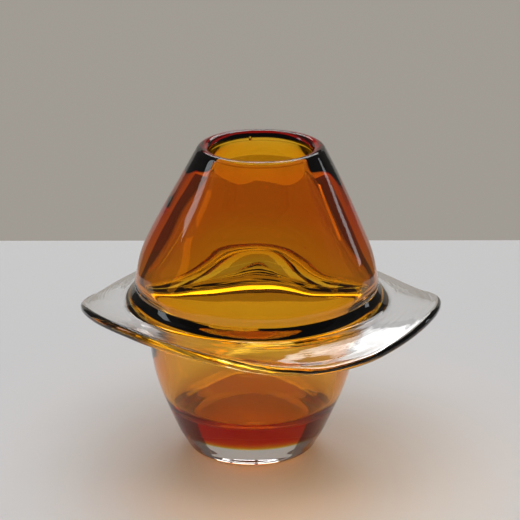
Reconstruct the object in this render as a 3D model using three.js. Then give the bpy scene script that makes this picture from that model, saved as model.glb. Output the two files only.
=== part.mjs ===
// A hand-blown ringed glass vase in millimetres, +Z up, origin at the centre of its ground-flat underside.
// Four pieces of glass are fused together: a clear foot, an amber lower cup, a clear wavy ring whose web
// runs through the wall at the waist, and an amber upper dome with the mouth. Neighbours keep a gap of WELD
// where the hot glass is welded.
import * as THREE from "three";

// Driving dimensions.
const HEIGHT = 190; // underside to the top of the lip
const WELD = 0.3; // gap left at each fused joint
const TURNS = 48; // steps around the axis
const DRIFT = [
  // [height, offset towards +X]: the hand-blown axis isn't quite straight
  [0, 0],
  [55, 0.7],
  [105, 3],
  [140, 3.4],
  [170, 5.2],
  [HEIGHT, 5.6],
];

// Foot: [radius, height] up its outside, as in every outline below.
const FOOT_TOP = 14; // height where clear glass meets amber
const FOOT_OUTSIDE = [
  [34, 0],
  [37.6, 1.6],
  [40.4, 5.6],
  [43, 10],
  [45.2, FOOT_TOP],
];

// Cup: a thick solid bottom, a flat floor and thin walls.
const CUP_TOP = 97.4;
const CUP_RIM = 69.3; // its outer radius there
const WAIST_BELOW = 63; // radius of the hollow there
const FLOOR = 28; // top of the solid bottom
const CUP_OUTSIDE = [
  [45.3, FOOT_TOP + WELD],
  [51.2, 28],
  [57.4, 44],
  [61.9, 62],
  [65.3, 80],
  [CUP_RIM, CUP_TOP],
];
const CUP_INSIDE = [
  [0, FLOOR],
  [22, FLOOR],
  [34, FLOOR + 0.2],
  [42, FLOOR + 1.4],
  [46.6, FLOOR + 4.8],
  [49.2, 38],
  [51.8, 47],
  [55.3, 62],
  [59.4, 80],
  [61.4, 90],
  [WAIST_BELOW, CUP_TOP],
];

// Dome: a wall that thickens upwards around a bottle-shaped hollow, with a round fire-polished lip.
const WEB = 2; // clear glass between cup and dome
const DOME_BOTTOM = CUP_TOP + WEB + 2 * WELD;
const WAIST_ABOVE = 64; // radius of the hollow there
const DOME_HEEL = [
  [CUP_RIM, DOME_BOTTOM],
  [71.8, DOME_BOTTOM + 1.2],
  [72.9, DOME_BOTTOM + 3],
];
const DOME_OUTSIDE = [
  [73.2, 105.5],
  [72.6, 110],
  [70.5, 120],
  [62.4, 140],
  [52.7, 160],
];
const DOME_INSIDE = [
  [WAIST_ABOVE, DOME_BOTTOM],
  [65.6, 104],
  [64.4, 112],
  [60.7, 120],
  [55.8, 128],
  [50.4, 137],
  [44, 150],
  [36.8, 164],
  [31.8, 176],
];
const LIP_RADIUS = 34.6; // mouth radius at the middle of the lip
const LIP_ROUND = 4.2; // radius of the lip's round section
const LIP_INNER_END = Math.PI + 0.4; // where the round lip runs out into the hollow

// Ring: a collar that hugs the dome's heel, a brim that rises and falls three times, and a round bead.
const COLLAR_OUTSIDE = [
  [74, 101.2],
  [75.9, 99.2],
  [79.4, 97.2],
];
const FILLET_FOOT = 88.4; // lowest point of the ring on the cup's side
const UNDER_FILLET = [
  [76, 91.4],
  [70.4, 90],
];
const ROOT = 82; // radius where the fillets become the brim
const ROOT_HEIGHT = 94; // middle of the brim's thickness there
const BRIM_THICKNESS = 5.4;
const BRIM_STATIONS = [0, 0.3, 0.6, 0.9]; // fractions of the way from the root to the bead's centre
const BRIM_FLARE = 1.6; // how early the brim leaves the level of its root
const BEAD_RADIUS = 3;
const BEAD_SWEEP = 1.3; // radians that the bead turns, above and below its outermost point
const BEAD_REACH = 105.4; // mean radius of the bead's centre line
const REACH_WAVES = [[1, 3, 10]]; // [waves around, amplitude, angle of a crest in degrees]
const BEAD_HEIGHT = 88.4; // mean height of the bead's centre line
const HEIGHT_WAVES = [
  [1, 6.6, 258],
  [2, 1.8, 26],
  [3, 5.6, 98.5],
  [4, 1.6, 84],
];

// Glass.
const AMBER = 0xb5650f;
const CLEAR = 0xe6e8ea;
const GLOSS = 0.03;

const toVectors = (points) => points.map(([r, z]) => new THREE.Vector2(r, z));
const smooth = (points, steps) => new THREE.SplineCurve(toVectors(points)).getPoints(steps);

function waves(list, angle) {
  return list.reduce(
    (sum, [count, size, crest]) => sum + size * Math.cos(count * (angle - THREE.MathUtils.degToRad(crest))),
    0,
  );
}

// The axis offset at a height, on straight runs between the drift points.
function drift(height) {
  const upper = Math.max(1, DRIFT.findIndex(([z]) => z >= height));
  const [[z0, x0], [z1, x1]] = [DRIFT[upper - 1], DRIFT[upper]];
  return THREE.MathUtils.mapLinear(height, z0, z1, x0, x1);
}

function piece(name, geometry, color) {
  const position = geometry.getAttribute("position");
  for (let i = 0; i < position.count; i++) {
    position.setX(i, position.getX(i) + drift(position.getZ(i)));
  }
  const material = new THREE.MeshStandardMaterial({ color, roughness: GLOSS, metalness: 0 });
  const mesh = new THREE.Mesh(geometry, material);
  mesh.name = name;
  return mesh;
}

// Spins an outline of [radius, height] vectors about Z. It runs up the outside and back down the inside.
const spun = (outline) => new THREE.LatheGeometry(outline, TURNS).rotateX(Math.PI / 2);

function footGeometry() {
  return spun([new THREE.Vector2(0, 0), ...smooth(FOOT_OUTSIDE, 8), new THREE.Vector2(0, FOOT_TOP)]);
}

const cupSide = smooth(CUP_OUTSIDE, 20);

function cupGeometry() {
  const bottom = new THREE.Vector2(0, FOOT_TOP + WELD);
  return spun([bottom, ...cupSide, ...smooth(CUP_INSIDE, 24).reverse()]);
}

function domeGeometry() {
  const lipHeight = HEIGHT - LIP_ROUND;
  const [shoulderRadius, shoulderHeight] = DOME_OUTSIDE.at(-1);
  const outerTilt = Math.atan2(shoulderRadius - LIP_RADIUS - LIP_ROUND, lipHeight - shoulderHeight);
  const round = [LIP_RADIUS, lipHeight, LIP_ROUND, LIP_ROUND];
  const lip = new THREE.EllipseCurve(...round, outerTilt, LIP_INNER_END).getPoints(9);
  const outside = smooth([...DOME_HEEL, ...DOME_OUTSIDE, lip[0].toArray()], 20).slice(0, -1);
  const inside = smooth([...DOME_INSIDE, lip.at(-1).toArray()], 22).reverse().slice(1);
  return spun([inside.at(-1), ...outside, ...lip, ...inside]);
}

// The ring's closed section at one angle. Only the brim outside the root follows the waves.
function ringSection(angle) {
  const reach = BEAD_REACH + waves(REACH_WAVES, angle);
  const rise = BEAD_HEIGHT + waves(HEIGHT_WAVES, angle) - ROOT_HEIGHT;
  const along = (t) => {
    const radius = THREE.MathUtils.lerp(ROOT, reach, t);
    const middle = ROOT_HEIGHT + rise * t * t * (BRIM_FLARE - (BRIM_FLARE - 1) * t);
    const half = THREE.MathUtils.lerp(BRIM_THICKNESS / 2, BEAD_RADIUS, t ** 3);
    return [radius, middle, half];
  };
  const brim = BRIM_STATIONS.map(along);
  const top = brim.map(([r, middle, half]) => [r, middle + half]);
  const bottom = brim.map(([r, middle, half]) => [r, middle - half]).reverse();
  const bead = [reach, ROOT_HEIGHT + rise, BEAD_RADIUS, BEAD_RADIUS, BEAD_SWEEP, -BEAD_SWEEP];
  const collar = smooth([...COLLAR_OUTSIDE, top[0]], 5).slice(0, -1);
  const fused = cupSide.filter(({ y }) => y > FILLET_FOOT).map(({ x, y }) => [x + WELD, y]);
  const underside = smooth([bottom.at(-1), ...UNDER_FILLET, fused[0]], 6).slice(1, -1);
  return [
    ...underside,
    ...toVectors(fused),
    new THREE.Vector2(CUP_RIM + WELD, CUP_TOP + WELD),
    new THREE.Vector2(WAIST_BELOW, CUP_TOP + WELD),
    new THREE.Vector2(WAIST_ABOVE, CUP_TOP + WELD + WEB),
    ...DOME_HEEL.map(([r, z]) => new THREE.Vector2(r + WELD, z - WELD)),
    ...collar,
    ...toVectors(top),
    ...new THREE.EllipseCurve(...bead, true).getPoints(6),
    ...toVectors(bottom),
  ];
}

// Joins the sections at every angle into one closed ring.
function ringGeometry() {
  const sections = Array.from({ length: TURNS }, (_, i) => {
    const angle = (2 * Math.PI * i) / TURNS;
    return ringSection(angle).map(({ x: r, y: z }) => [r * Math.cos(angle), r * Math.sin(angle), z]);
  });
  const count = sections[0].length;
  const indices = [];
  for (let i = 0; i < TURNS; i++) {
    const next = (i + 1) % TURNS;
    for (let j = 0; j < count; j++) {
      const k = (j + 1) % count;
      const [a, b, c, d] = [i * count + j, next * count + j, next * count + k, i * count + k];
      indices.push(a, c, b, a, d, c);
    }
  }
  const geometry = new THREE.BufferGeometry();
  geometry.setAttribute("position", new THREE.Float32BufferAttribute(sections.flat(2), 3));
  geometry.setIndex(indices);
  geometry.computeVertexNormals();
  return geometry;
}

const vase = new THREE.Group();
vase.add(
  piece("clear_foot", footGeometry(), CLEAR),
  piece("amber_cup", cupGeometry(), AMBER),
  piece("clear_ring", ringGeometry(), CLEAR),
  piece("amber_dome", domeGeometry(), AMBER),
);

export default vase;
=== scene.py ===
"""A hand-blown ringed vase: an amber cup and dome, a clear wavy ring round the waist and a clear foot.

The four pieces are fused glass. Each is a closed mesh of its own, and the faces where it is welded to a
neighbour are marked, so that the material lets light pass there unbent.
"""
import math

import bmesh
import bpy
import numpy as np
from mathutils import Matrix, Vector, noise


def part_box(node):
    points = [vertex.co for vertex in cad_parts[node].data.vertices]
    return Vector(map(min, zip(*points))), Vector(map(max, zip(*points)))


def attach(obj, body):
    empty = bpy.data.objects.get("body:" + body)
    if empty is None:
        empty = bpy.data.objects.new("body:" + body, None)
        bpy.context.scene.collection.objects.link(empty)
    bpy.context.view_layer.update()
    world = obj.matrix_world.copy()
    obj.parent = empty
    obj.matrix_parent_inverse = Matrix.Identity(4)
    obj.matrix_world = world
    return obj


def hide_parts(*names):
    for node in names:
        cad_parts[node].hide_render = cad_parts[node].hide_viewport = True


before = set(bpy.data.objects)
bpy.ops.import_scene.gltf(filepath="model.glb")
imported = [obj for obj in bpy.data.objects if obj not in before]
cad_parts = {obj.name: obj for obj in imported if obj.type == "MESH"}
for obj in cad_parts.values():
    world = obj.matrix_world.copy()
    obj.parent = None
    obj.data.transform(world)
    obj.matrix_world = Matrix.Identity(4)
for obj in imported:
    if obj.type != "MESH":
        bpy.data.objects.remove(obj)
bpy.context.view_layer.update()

MM = 0.001
TURNS = 240  # steps around the axis
SEAM = 0.04  # gap at a fused joint, too thin to see
TOOLING = 0.25  # how far the hand-tooled surface wanders
TOOLING_SIZE = 24  # and the size of its hollows
ON_AXIS = 1e-6  # a radius below this is on the axis
noise.seed_set(5)  # fixes where the tooling leaves its hollows

# ---------------------------------------------------------------- shape, in millimetres
# Outlines are (radius, height) points, read as smooth curves.
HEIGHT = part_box("amber_dome")[1].z / MM
DRIFT = [(0, 0), (55, 0.7), (105, 3), (140, 3.4), (170, 5.2), (190, 5.6)]  # (height, offset towards +X)

FOOT_TOP = 14
FOOT_SIDE = [(34, 0), (37.6, 1.6), (40.4, 5.6), (43, 10), (45.2, FOOT_TOP)]

CUP_TOP = 97.4
CUP_RIM = 69.3
CUP_SIDE = [(45.2, FOOT_TOP), (51.2, 28), (57.4, 44), (61.9, 62), (65.3, 80), (CUP_RIM, CUP_TOP)]

WEB = 2.6  # clear glass between cup and dome
DOME_BOTTOM = CUP_TOP + WEB
DOME_SIDE = [
    (CUP_RIM, DOME_BOTTOM), (71.8, 101.2), (72.9, 103), (73.2, 105.5), (72.6, 110), (70.5, 120), (62.4, 140),
    (52.7, 160),
]
LIP_RADIUS = 34.6
LIP_ROUND = 4.2
LIP_INNER_END = math.pi + 0.4  # where the round lip runs out into the hollow
FLOOR = 28  # top of the solid bottom
FLOOR_EDGE = 40  # radius where the floor begins to turn up into the wall
HOLLOW = [
    (0, FLOOR), (10, FLOOR), (22, FLOOR), (34, 28.2), (42, 29.4), (46.6, 32.8), (49.2, 38), (51.8, 47),
    (55.3, 62), (59.4, 80), (61.4, 90), (63, 97), (65.6, 104), (64.4, 112), (60.7, 120), (55.8, 128),
    (50.4, 137), (44, 150), (36.8, 164), (31.8, 176),
]

BUBBLES = [  # trapped in the dome: (radius, angle, height, size)
    (34.2, math.radians(101), 185, 0.9),
    (57.5, math.radians(-62), 143, 0.5),
    (67, math.radians(-118), 124, 0.4),
]

# The ring is drawn out of a collar that climbs the dome's side and a fillet that runs down the cup's.
COLLAR_TOP = 103
COLLAR = [(75.9, -3.8), (79.4, -5.8)]  # (radius, height above or below the collar's top)
COLLAR_WAVES = [(1, 0.6, 90), (3, 0.8, 98.5)]  # (waves around, amplitude, angle of a crest in degrees)
FILLET_FOOT = 88.4
FILLET = [(76, 3), (70.4, 1.6)]  # (radius, height above the fillet's foot)
FILLET_WAVES = [(2, 0.4, 0)]
ROOT = 82  # radius where collar and fillet become the brim
ROOT_HEIGHT = 94
BRIM_THICKNESS = 5.4
BRIM_FLARE = 1.6  # how early the brim leaves the level of its root
BRIM_END = 0.9  # where the brim gives way to the bead, as a part of the way to the bead's centre
BEAD_RADIUS = 3
BEAD_SWEEP = 1.3  # radians that the bead turns, above and below its outermost point
BEAD_REACH = 105.4
BEAD_HEIGHT = 88.4
REACH_WAVES = [(1, 3, 10)]
HEIGHT_WAVES = [(1, 6.6, 258), (2, 1.8, 26), (3, 5.6, 98.5), (4, 1.6, 84)]


def spline(points, count):
    """Points on the natural cubic spline through the given ones, evenly spaced along it."""
    p = np.asarray(points, float)
    s = np.concatenate([[0], np.cumsum(np.linalg.norm(np.diff(p, axis=0), axis=1))])
    h = np.diff(s)
    n = len(p)
    a = np.eye(n)
    b = np.zeros_like(p)
    for i in range(1, n - 1):
        a[i, i - 1 : i + 2] = h[i - 1], 2 * (h[i - 1] + h[i]), h[i]
        b[i] = 6 * ((p[i + 1] - p[i]) / h[i] - (p[i] - p[i - 1]) / h[i - 1])
    m = np.linalg.solve(a, b)
    t = np.linspace(0, s[-1], count)
    i = np.clip(np.searchsorted(s, t, side="right") - 1, 0, n - 2)
    u, v, k = (t - s[i])[:, None], (s[i + 1] - t)[:, None], h[i][:, None]
    cubic = (m[i] * v**3 + m[i + 1] * u**3) / (6 * k)
    return cubic + (p[i] / k - m[i] * k / 6) * v + (p[i + 1] / k - m[i + 1] * k / 6) * u


def arc(centre, radius, start, end, count):
    """Points on a circular arc, with angles in radians."""
    a = np.linspace(start, end, count)
    return np.stack([centre[0] + radius * np.cos(a), centre[1] + radius * np.sin(a)], -1)


def waves(table, angle):
    return sum(size * math.cos(count * (angle - math.radians(crest))) for count, size, crest in table)


def lip_arc():
    height = HEIGHT - LIP_ROUND
    shoulder_radius, shoulder_height = DOME_SIDE[-1]
    tilt = math.atan2(shoulder_radius - LIP_RADIUS - LIP_ROUND, height - shoulder_height)
    return arc((LIP_RADIUS, height), LIP_ROUND, tilt, LIP_INNER_END, 28)


def between(line, low, high, count):
    """The stretch of a rising outline between two heights, as evenly spaced heights."""
    z = np.linspace(low, high, count)
    return np.stack([np.interp(z, line[:, 1], line[:, 0]), z], -1)


DRIFT_LINE = spline(DRIFT, 200)
CUP_LINE = spline(CUP_SIDE, 300)
LIP = lip_arc()
DOME_LINE = spline([*DOME_SIDE, LIP[0]], 300)
HOLLOW_LINE = spline([*HOLLOW, LIP[-1]], 400)
HOLLOW_LINE[:, 1] = np.maximum.accumulate(HOLLOW_LINE[:, 1])

# The cup's hollow keeps every fourth point across the floor and all 30 round its corner.
TURN_UP = int(np.argmax(HOLLOW_LINE[:, 0] > FLOOR_EDGE))
TURNED = TURN_UP + 30
CUP_HOLLOW = np.concatenate([
    HOLLOW_LINE[:TURN_UP:4],
    HOLLOW_LINE[TURN_UP:TURNED],
    between(HOLLOW_LINE, HOLLOW_LINE[TURNED, 1], CUP_TOP, 50),
])
WEB_HOLLOW = between(HOLLOW_LINE, CUP_TOP + SEAM, DOME_BOTTOM - SEAM, 4)
DOME_HOLLOW = between(HOLLOW_LINE, DOME_BOTTOM, LIP[-1][1], 70)


def place(radius, angle, height):
    """The point at a radius, angle and height of the drifting axis, in metres.

    The glass is pushed about a little, as tooling leaves it, but not at its underside or on its axis.
    """
    x = radius * math.cos(angle) + np.interp(height, DRIFT_LINE[:, 0], DRIFT_LINE[:, 1])
    point = Vector((x, radius * math.sin(angle), height))
    push = noise.noise_vector(point / TOOLING_SIZE) * TOOLING
    push *= min(1, height / TOOLING_SIZE) * min(1, radius / TOOLING_SIZE)
    return (point + push) * MM


def revolve(name, runs_at, welds, ground):
    """A closed mesh from the outline at each angle.

    runs_at(angle) gives the outline as runs of points that share end points; the run numbers in welds are
    the ones that are fused to a neighbour, and those in ground are ground matt.
    """
    verts, faces, fused, matt, creases = [], [], [], [], []
    rings = []
    for turn in range(TURNS):
        angle = 2 * math.pi * turn / TURNS
        ring = []
        for run_number, run in enumerate(runs_at(angle)):
            for radius, height in run[:-1]:
                if radius < ON_AXIS and turn:
                    index = rings[0][len(ring)][0]
                else:
                    index = len(verts)
                    verts.append(place(radius, angle, height))
                ring.append((index, run_number))
        rings.append(ring)
    count = len(rings[0])
    for turn in range(TURNS):
        here, there = rings[turn], rings[(turn + 1) % TURNS]
        for j in range(count):
            k = (j + 1) % count
            corners = []
            for index in (here[j][0], there[j][0], there[k][0], here[k][0]):
                if index not in corners:
                    corners.append(index)
            if len(corners) < 3:
                continue
            run_number = here[j][1]
            faces.append(corners)
            fused.append(float(run_number in welds))
            matt.append(float(run_number in ground))
            if run_number != here[k][1]:
                creases.append((here[k][0], there[k][0]))
    mesh = bpy.data.meshes.new(name)
    mesh.from_pydata(verts, [], faces)
    mesh.attributes.new("weld", "FLOAT", "FACE").data.foreach_set("value", fused)
    mesh.attributes.new("ground", "FLOAT", "FACE").data.foreach_set("value", matt)
    mesh.shade_smooth()
    sharp = {tuple(sorted(pair)) for pair in creases}
    for edge in mesh.edges:
        edge.use_edge_sharp = tuple(sorted(edge.vertices)) in sharp
    mesh.validate()
    mesh.update()
    obj = bpy.data.objects.new(name, mesh)
    bpy.context.collection.objects.link(obj)
    return obj


def add_bubble(obj, radius, angle, height, size):
    """Adds a trapped air bubble: a small sphere that faces inwards."""
    mesh = bmesh.new()
    mesh.from_mesh(obj.data)
    ball = bmesh.ops.create_icosphere(mesh, subdivisions=3, radius=size * MM)["verts"]
    bmesh.ops.translate(mesh, verts=ball, vec=place(radius, angle, height))
    faces = list({face for vert in ball for face in vert.link_faces})
    bmesh.ops.reverse_faces(mesh, faces=faces)
    for face in faces:
        face.smooth = True
    mesh.to_mesh(obj.data)
    mesh.free()


# ---------------------------------------------------------------- pieces
def collar_top(angle):
    return COLLAR_TOP + waves(COLLAR_WAVES, angle)


def fillet_foot(angle):
    return FILLET_FOOT + waves(FILLET_WAVES, angle)


def foot_runs(angle):
    return [
        [(0, 0), FOOT_SIDE[0]],
        spline(FOOT_SIDE, 24),
        [FOOT_SIDE[-1], (0, FOOT_TOP)],
        [(0, FOOT_TOP), (0, 0)],
    ]


def cup_runs(angle):
    bottom = FOOT_TOP + SEAM
    foot = fillet_foot(angle)
    free_side = between(CUP_LINE, bottom, foot, 50)
    return [
        [(0, bottom), free_side[0]],
        free_side,
        between(CUP_LINE, foot, CUP_TOP, 12),
        [(CUP_RIM, CUP_TOP), CUP_HOLLOW[-1]],
        CUP_HOLLOW[::-1],
        [CUP_HOLLOW[0], (0, bottom)],
    ]


def dome_runs(angle):
    top = collar_top(angle)
    return [
        between(DOME_LINE, DOME_BOTTOM, top, 16),
        between(DOME_LINE, top, LIP[0][1], 60),
        LIP,
        DOME_HOLLOW[::-1],
        [DOME_HOLLOW[0], DOME_LINE[0]],
    ]


def ring_runs(angle):
    reach = BEAD_REACH + waves(REACH_WAVES, angle)
    rise = BEAD_HEIGHT + waves(HEIGHT_WAVES, angle) - ROOT_HEIGHT

    def brim(t):
        middle = ROOT_HEIGHT + rise * t * t * (BRIM_FLARE - (BRIM_FLARE - 1) * t)
        half = BRIM_THICKNESS / 2 + (BEAD_RADIUS - BRIM_THICKNESS / 2) * t**3
        return ROOT + (reach - ROOT) * t, middle, half

    steps = [brim(t) for t in np.linspace(0, BRIM_END, 10)]
    top = [(r, middle + half) for r, middle, half in steps]
    bottom = [(r, middle - half) for r, middle, half in steps]
    bead = arc((reach, ROOT_HEIGHT + rise), BEAD_RADIUS, -BEAD_SWEEP, BEAD_SWEEP, 14)
    side = between(CUP_LINE, fillet_foot(angle), CUP_TOP + SEAM, 12) + [SEAM, 0]
    heel = between(DOME_LINE, DOME_BOTTOM - SEAM, collar_top(angle), 16) + [SEAM, 0]
    fillet = [(r, fillet_foot(angle) + z) for r, z in FILLET[::-1]]
    collar = [(r, collar_top(angle) + z) for r, z in COLLAR[::-1]]
    outside = spline([side[0], *fillet, *bottom, *bead[1:-1], *top[::-1], *collar, heel[-1]], 160)
    return [
        outside,
        heel[::-1],
        [heel[0], WEB_HOLLOW[-1]],
        WEB_HOLLOW[::-1],
        [WEB_HOLLOW[0], side[-1]],
        side[::-1],
    ]


# ---------------------------------------------------------------- materials
IOR = 1.52
GROUND = 0.3  # roughness of the ground underside
CORD_DEPTH = 0.00006  # of the wandering cords in the surface, in metres
CORD_SCALE = 28
CORD_WANDER = 0.8
ROUNDS_SCALE = 320


def glass(name, colour, density, rounds_depth):
    """Clear glass tinted by its thickness, and see-through where the mesh is marked as welded.

    Its surface has faint cords that wander, and rounds of the given depth that run about the axis.
    """
    mat = bpy.data.materials.new(name)
    mat.use_nodes = True
    nodes, links = mat.node_tree.nodes, mat.node_tree.links
    surface, output = nodes["Principled BSDF"], nodes["Material Output"]
    surface.inputs["Base Color"].default_value = (1, 1, 1, 1)
    surface.inputs["Transmission Weight"].default_value = 1
    surface.inputs["IOR"].default_value = IOR

    def mark(attribute):
        node = nodes.new("ShaderNodeAttribute")
        node.attribute_name = attribute
        return node.outputs["Fac"]

    def vector_math(operation, vector):
        node = nodes.new("ShaderNodeVectorMath")
        node.operation = operation
        links.new(vector, node.inputs[0])
        return node

    def bump(height, depth):
        node = nodes.new("ShaderNodeBump")
        node.inputs["Strength"].default_value = 1
        node.inputs["Distance"].default_value = depth
        links.new(height, node.inputs["Height"])
        return node

    ground = nodes.new("ShaderNodeMath")
    ground.operation = "MULTIPLY"
    ground.inputs[1].default_value = GROUND
    links.new(mark("ground"), ground.inputs[0])
    links.new(ground.outputs[0], surface.inputs["Roughness"])

    position = nodes.new("ShaderNodeTexCoord").outputs["Object"]
    cords = nodes.new("ShaderNodeTexNoise")
    cords.inputs["Scale"].default_value = CORD_SCALE
    cords.inputs["Detail"].default_value = 1
    cords.inputs["Distortion"].default_value = CORD_WANDER
    links.new(position, cords.inputs["Vector"])
    outwards = vector_math("MULTIPLY", position)
    outwards.inputs[1].default_value = (1, 1, 0)
    rounds = nodes.new("ShaderNodeTexNoise")
    rounds.noise_dimensions = "1D"
    rounds.inputs["Scale"].default_value = ROUNDS_SCALE
    rounds.inputs["Detail"].default_value = 1
    links.new(vector_math("LENGTH", outwards.outputs[0]).outputs["Value"], rounds.inputs["W"])
    relief = bump(rounds.outputs["Fac"], rounds_depth)
    links.new(bump(cords.outputs["Fac"], CORD_DEPTH).outputs["Normal"], relief.inputs["Normal"])
    links.new(relief.outputs["Normal"], surface.inputs["Normal"])

    mix = nodes.new("ShaderNodeMixShader")
    links.new(mark("weld"), mix.inputs[0])
    links.new(surface.outputs[0], mix.inputs[1])
    links.new(nodes.new("ShaderNodeBsdfTransparent").outputs[0], mix.inputs[2])
    links.new(mix.outputs[0], output.inputs["Surface"])
    tint = nodes.new("ShaderNodeVolumeAbsorption")
    tint.inputs["Color"].default_value = (*colour, 1)
    tint.inputs["Density"].default_value = density
    links.new(tint.outputs[0], output.inputs["Volume"])
    return mat


amber = glass("blown_amber", (0.984, 0.815, 0.0), 348, 0.000003)
clear = glass("blown_clear", (0.62, 0.62, 0.7), 2, 0.00006)

for node, runs, welds, ground, mat, slot in (
    ("clear_foot", foot_runs, {2}, {0}, clear, "clear_glass"),
    ("amber_cup", cup_runs, {0, 2, 3}, set(), amber, "amber_glass"),
    ("clear_ring", ring_runs, {1, 2, 4, 5}, set(), clear, "clear_glass"),
    ("amber_dome", dome_runs, {0, 4}, set(), amber, "amber_glass"),
):
    piece = revolve("blown_" + node, runs, welds, ground)
    piece.data.materials.append(mat)
    if node == "amber_dome":
        for bubble in BUBBLES:
            add_bubble(piece, *bubble)
    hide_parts(node)
    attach(piece, "root")


# ---------------------------------------------------------------- stage, lights and camera
def plain(name, colour, roughness):
    mat = bpy.data.materials.new(name)
    mat.use_nodes = True
    surface = mat.node_tree.nodes["Principled BSDF"]
    surface.inputs["Base Color"].default_value = (*colour, 1)
    surface.inputs["Roughness"].default_value = roughness
    return mat


def lit_wall(name, emission):
    """A dull wall with an even light of its own."""
    mat = plain(name, (0.1, 0.1, 0.1), 1)
    surface = mat.node_tree.nodes["Principled BSDF"]
    surface.inputs["Emission Color"].default_value = (*emission, 1)
    surface.inputs["Emission Strength"].default_value = 1
    return mat


def sheet(name, corners, mat):
    mesh = bpy.data.meshes.new(name)
    mesh.from_pydata(corners, [], [(0, 1, 2, 3)])
    mesh.materials.append(mat)
    obj = bpy.data.objects.new(name, mesh)
    bpy.context.collection.objects.link(obj)


def upright(name, start, end, bottom, top, mat):
    """A sheet that stands between two (x, y) points."""
    sheet(name, [(*start, bottom), (*end, bottom), (*end, top), (*start, top)], mat)


TABLE = -0.0003  # just below the underside, so that the two do not share a plane
TABLE_HALF = 0.8
TABLE_BACK = 0.392
sheet("table", [
    (-TABLE_HALF, -TABLE_HALF, TABLE), (TABLE_HALF, -TABLE_HALF, TABLE),
    (TABLE_HALF, TABLE_BACK, TABLE), (-TABLE_HALF, TABLE_BACK, TABLE),
], plain("table_top", (0.64, 0.64, 0.65), 0.6))

WALL = 2.6  # distance to the back wall
WALL_HALF = 1.5  # half the width of its pale part
WALL_TOP = 1.2  # and the height of that part
ROOM_HALF = 3
ROOM_TOP = 5
ROOM_FRONT = -0.5
upright("wall", (-WALL_HALF, WALL), (WALL_HALF, WALL), -2, WALL_TOP, lit_wall("wall", (0.33, 0.305, 0.27)))
dim = lit_wall("dim_wall", (0.055, 0.05, 0.046))
for side in (-1, 1):
    corner = ROOM_HALF * side, WALL
    upright("dim_wall", (WALL_HALF * side, WALL), corner, -1, ROOM_TOP, dim)
    upright("side_wall", (ROOM_HALF * side, ROOM_FRONT), corner, 0, ROOM_TOP, dim)


def window(name, azimuth, elevation, distance, size, luminance, colour=(0.9, 0.96, 1)):
    """A soft rectangular light that faces the vase. Azimuth 0 is behind it and 90 is to its right."""
    light = bpy.data.lights.new(name, "AREA")
    light.shape = "RECTANGLE"
    light.size, light.size_y = size
    light.energy = luminance * math.pi * size[0] * size[1]
    light.color = colour
    obj = bpy.data.objects.new(name, light)
    across, up = math.radians(azimuth), math.radians(elevation)
    towards = Vector((math.sin(across) * math.cos(up), math.cos(across) * math.cos(up), math.sin(up)))
    obj.location = Vector((0, 0, 0.1)) + towards * distance
    obj.rotation_euler = (-towards).to_track_quat("-Z", "Y").to_euler()
    bpy.context.collection.objects.link(obj)


for pane, azimuth in enumerate((-13, 6, 25)):
    window(f"window_back_{pane}", azimuth, 43, 6, (1.5, 3.2), 3.0, (1, 1, 0.99))
window("window_left", -80, 29, 2.2, (0.35, 0.8), 2.6)
window("window_right", 61, 8, 2.2, (0.2, 0.5), 2.0)
window("ceiling", 0, 80, 5, (7, 6), 1.2, (1, 1, 0.99))
window("front_fill", 180, 50, 4, (4, 3), 1.1, (0.99, 0.99, 1))

# The amber light on the table in front of the vase.
glow = bpy.data.lights.new("glow", "SPOT")
glow.energy = 27
glow.color = (1, 0.5, 0.04)
glow.spot_size = math.radians(15)
glow.spot_blend = 1
glow.shadow_soft_size = 0.1
glow_light = bpy.data.objects.new("glow", glow)
glow_light.location = (0.08, -0.9, 0.9)
aim = Vector((0.03, -0.08, 0)) - glow_light.location
glow_light.rotation_euler = aim.to_track_quat("-Z", "Y").to_euler()
bpy.context.collection.objects.link(glow_light)

# The glass doesn't show these three lights, and the two in front cast no shadow.
for name in ("ceiling", "front_fill", "glow"):
    bpy.data.objects[name].visible_glossy = False
    bpy.data.objects[name].visible_transmission = False
for name in ("front_fill", "glow"):
    bpy.data.objects[name].data.use_shadow = False

world = bpy.data.worlds.new("room")
bpy.context.scene.world = world
world.use_nodes = True
world.node_tree.nodes["Background"].inputs[0].default_value = (1, 0.88, 0.82, 1)
world.node_tree.nodes["Background"].inputs[1].default_value = 0.085

EYE = (0, -1.35, 0.5822)
LENS = 164.9  # mm
LOOK_DOWN = math.radians(18.958)  # below the level
LOOK_ASIDE = math.radians(0.214)  # to the right
camera = bpy.data.objects.new("camera", bpy.data.cameras.new("camera"))
camera.data.lens = LENS
camera.location = EYE
camera.rotation_euler = (math.pi / 2 - LOOK_DOWN, 0, -LOOK_ASIDE)
bpy.context.collection.objects.link(camera)
bpy.context.scene.camera = camera

cycles = bpy.context.scene.cycles
cycles.blur_glossy = 0.2
cycles.max_bounces = 32
cycles.transmission_bounces = 32
cycles.transparent_max_bounces = 64
bpy.context.scene.view_settings.view_transform = "Standard"
